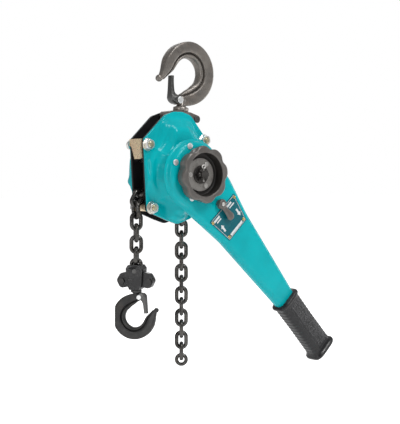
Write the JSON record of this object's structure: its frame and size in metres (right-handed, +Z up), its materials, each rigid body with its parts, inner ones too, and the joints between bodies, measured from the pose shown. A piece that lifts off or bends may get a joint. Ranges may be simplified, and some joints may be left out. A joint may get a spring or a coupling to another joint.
{
  "type": "lever chain hoist",
  "caption": "Hand lever chain hoist with latched swivel hooks, lobed handwheel, pressed covers, tapered lever with rubber grip, load chain and bottom block.",
  "frame": {"origin": "seat of the top hook's bowl, on the hook's mid plane", "axes": "+Z up, -Y towards the handwheel and lever side, +X towards the side the lever points at rest; the drive shaft is parallel to Y"},
  "size_m": [0.4292, 0.162, 0.5912],
  "materials": {
    "forged_steel": "dark phosphated forging, satin",
    "dark_forging": "black oxide, satin",
    "chain_steel": "black oiled alloy chain",
    "latch_steel": "grey pressed sheet",
    "zinc": "zinc plated",
    "gold_zinc": "yellow chromate",
    "machined_steel": "machined and oiled",
    "black_plate": "black paint",
    "teal_paint": "gloss powder coat",
    "cast_grey": "grey cast, satin",
    "wheel_plate": "satin",
    "friction": "moulded lining",
    "label": "printed plate, no lettering",
    "brass": "bright",
    "rubber": "ribbed, pebbled"
  },
  "bodies": {
    "top_hook": {"top_hook": "forged_steel", "top_latch_rivet": "zinc", "top_latch_spring": "zinc"},
    "top_latch": {"top_latch": "latch_steel"},
    "top_yoke": {"top_yoke_front": "forged_steel", "top_yoke_rear": "forged_steel", "top_yoke_bolts": "dark_forging"},
    "hoist_body": {"top_pin": "machined_steel", "side_plate_front": "black_plate", "side_plate_rear": "black_plate", "brake_cover": "teal_paint", "gear_cover": "teal_paint", "stay_bolts": "zinc", "stay_nuts_front": "zinc", "stay_nuts_rear": "zinc", "stay_spacers": "gold_zinc", "chain_guide": "gold_zinc", "guide_rollers": "machined_steel", "chain_stripper": "machined_steel", "sheave_bearings": "machined_steel", "brake_pawl_pins": "machined_steel", "brake_pawl_springs": "zinc", "load_chain_upper": "chain_steel"},
    "load_sheave": {"load_sheave": "machined_steel", "load_gear": "machined_steel"},
    "reduction_gear_left": {"reduction_gear_left": "machined_steel"},
    "reduction_gear_right": {"reduction_gear_right": "machined_steel"},
    "drive_shaft": {"drive_shaft": "machined_steel", "brake_hub": "machined_steel", "friction_discs": "friction", "brake_ratchet": "machined_steel", "castle_nut": "dark_forging", "cotter_pin": "zinc"},
    "brake_pawl_upper": {"brake_pawl_upper": "machined_steel"},
    "brake_pawl_lower": {"brake_pawl_lower": "machined_steel"},
    "handwheel": {"handwheel": "cast_grey", "handwheel_plate": "wheel_plate", "handwheel_rivets": "zinc", "change_gear": "machined_steel"},
    "lever": {"lever_housing_front": "teal_paint", "lever_housing_rear": "teal_paint", "lever_bolts": "zinc", "selector_spring": "zinc", "nameplate": "label", "nameplate_rivets": "brass", "grip": "rubber"},
    "selector": {"selector_lever": "cast_grey", "selector_pawl": "machined_steel"},
    "load_fall": {"load_chain_fall": "chain_steel"},
    "bottom_block": {"end_link": "chain_steel", "block_front": "dark_forging", "block_rear": "dark_forging", "block_bolts": "dark_forging", "chain_pin": "machined_steel"},
    "bottom_hook": {"bottom_hook": "dark_forging", "bottom_latch_rivet": "zinc", "bottom_latch_spring": "zinc"},
    "bottom_latch": {"bottom_latch": "latch_steel"},
    "tail": {"tail_chain": "chain_steel", "chain_end_stop": "chain_steel"}
  },
  "joints": [
    {"name": "top_latch_pivot", "type": "hinge", "parent": "top_hook", "child": "top_latch", "pos_m": [-0.02277, 0, -0.07561], "axis": [0, 1, 0], "range_deg": [0, 30], "stiffness_Nm_per_rad": 0.04, "springref_deg": -51.57},
    {"name": "top_hook_swivel", "type": "hinge", "parent": "top_hook", "child": "top_yoke", "pos_m": [-0.01465, 0, -0.0959], "axis": [0.1132, 0, 0.9936], "continuous": true},
    {"name": "top_pin_swing", "type": "hinge", "parent": "top_yoke", "child": "hoist_body", "pos_m": [-0.0168, 0, -0.11478], "axis": [0, 1, 0], "range_deg": [-12, 12]},
    {"name": "sheave_turn", "type": "hinge", "parent": "hoist_body", "child": "load_sheave", "pos_m": [-0.0373, 0, -0.20878], "axis": [0, 1, 0], "continuous": true},
    {"name": "reduction_gear_left_turn", "type": "hinge", "parent": "hoist_body", "child": "reduction_gear_left", "pos_m": [-0.06355, 0, -0.20878], "axis": [0, 1, 0], "continuous": true},
    {"name": "reduction_gear_right_turn", "type": "hinge", "parent": "hoist_body", "child": "reduction_gear_right", "pos_m": [-0.01105, 0, -0.20878], "axis": [0, 1, 0], "continuous": true},
    {"name": "drive_shaft_turn", "type": "hinge", "parent": "hoist_body", "child": "drive_shaft", "pos_m": [-0.0373, 0, -0.20878], "axis": [0, 1, 0], "continuous": true},
    {"name": "brake_pawl_upper_pivot", "type": "hinge", "parent": "hoist_body", "child": "brake_pawl_upper", "pos_m": [-0.01852, -0.032, -0.17346], "axis": [0, 1, 0], "range_deg": [-6, 0]},
    {"name": "brake_pawl_lower_pivot", "type": "hinge", "parent": "hoist_body", "child": "brake_pawl_lower", "pos_m": [-0.05608, -0.032, -0.24409], "axis": [0, 1, 0], "range_deg": [-6, 0]},
    {"name": "handwheel_turn", "type": "hinge", "parent": "hoist_body", "child": "handwheel", "pos_m": [-0.0373, -0.08, -0.20878], "axis": [0, 1, 0], "continuous": true},
    {"name": "lever_turn", "type": "hinge", "parent": "hoist_body", "child": "lever", "pos_m": [-0.0373, -0.06, -0.20878], "axis": [0, 1, 0], "continuous": true},
    {"name": "selector_turn", "type": "hinge", "parent": "lever", "child": "selector", "pos_m": [0.01017, -0.082, -0.26022], "axis": [0, 1, 0], "range_deg": [-14, 14]},
    {"name": "load_fall_swing", "type": "hinge", "parent": "hoist_body", "child": "load_fall", "pos_m": [-0.1114, 0, -0.28334], "axis": [0.2588, 0.9659, 0], "range_deg": [-8, 8]},
    {"name": "block_swing", "type": "hinge", "parent": "load_fall", "child": "bottom_block", "pos_m": [-0.1114, 0, -0.36334], "axis": [0.809, 0.5878, 0], "range_deg": [-8, 8]},
    {"name": "bottom_hook_swivel", "type": "hinge", "parent": "bottom_block", "child": "bottom_hook", "pos_m": [-0.1114, 0, -0.40778], "axis": [0, 0, 1], "continuous": true},
    {"name": "bottom_latch_pivot", "type": "hinge", "parent": "bottom_hook", "child": "bottom_latch", "pos_m": [-0.10729, -0.00566, -0.42078], "axis": [0.809, 0.5878, 0], "range_deg": [0, 30], "stiffness_Nm_per_rad": 0.02, "springref_deg": -51.57},
    {"name": "tail_swing", "type": "hinge", "parent": "hoist_body", "child": "tail", "pos_m": [-0.01273, 0, -0.2185], "axis": [0, 1, 0], "range_deg": [-8, 1]}
  ],
  "couplings": [
    {"joint": "reduction_gear_left_turn", "follows": "sheave_turn", "ratio": -2.5},
    {"joint": "reduction_gear_right_turn", "follows": "sheave_turn", "ratio": -2.5},
    {"joint": "drive_shaft_turn", "follows": "sheave_turn", "ratio": 6.25},
    {"joint": "handwheel_turn", "follows": "sheave_turn", "ratio": 6.25}
  ]
}
